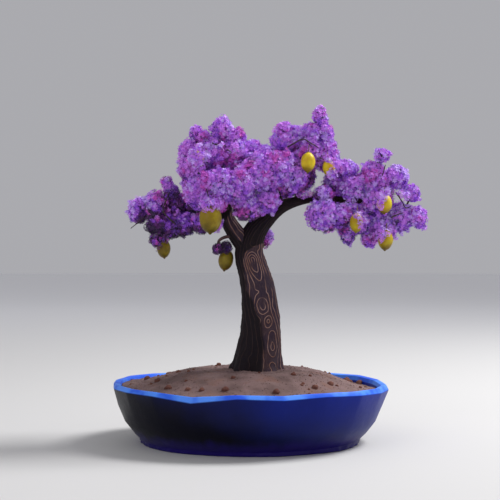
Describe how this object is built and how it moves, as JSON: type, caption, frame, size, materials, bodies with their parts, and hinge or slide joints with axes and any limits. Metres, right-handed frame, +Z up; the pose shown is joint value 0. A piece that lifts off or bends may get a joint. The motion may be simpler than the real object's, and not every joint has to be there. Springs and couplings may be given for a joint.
{
  "type": "flowering lemon bonsai",
  "caption": "Bonsai tree with a forked, arching trunk, cloud-like masses of small blossom and hanging lemons, in mounded soil in a shallow faceted pot.",
  "frame": {"origin": "centre of the pot's flat underside", "axes": "+Z up, -Y the tree's front, +X on the right as the front is seen, the side that the long limb arches to"},
  "size_m": [0.3869, 0.3378, 0.413],
  "materials": {
    "blue_glaze": "gloss",
    "earth": "matte",
    "bark": "matte",
    "blossom": "matte"
  },
  "bodies": {
    "root": {"bough_back_centre": "bark", "bough_back_left": "bark", "bough_back_right": "bark", "bough_centre": "bark", "bough_far_left": "bark", "bough_lower_left": "bark", "bough_right_low": "bark", "bough_right_top": "bark", "bough_top_right": "bark", "left_limb": "bark", "mass_back_centre": "blossom", "mass_back_left": "blossom", "mass_back_right": "blossom", "mass_centre": "blossom", "mass_far_left": "blossom", "mass_lower_left": "blossom", "mass_right_end": "blossom", "mass_right_low": "blossom", "mass_right_top": "blossom", "mass_top_right": "blossom", "mass_twig_left": "blossom", "mass_twig_right": "blossom", "mass_upper_left": "blossom", "pot": "blue_glaze", "right_limb_lower": "bark", "right_limb_upper": "bark", "soil": "earth", "trunk": "bark", "twig_left": "bark", "twig_right": "bark"}
  },
  "joints": []
}
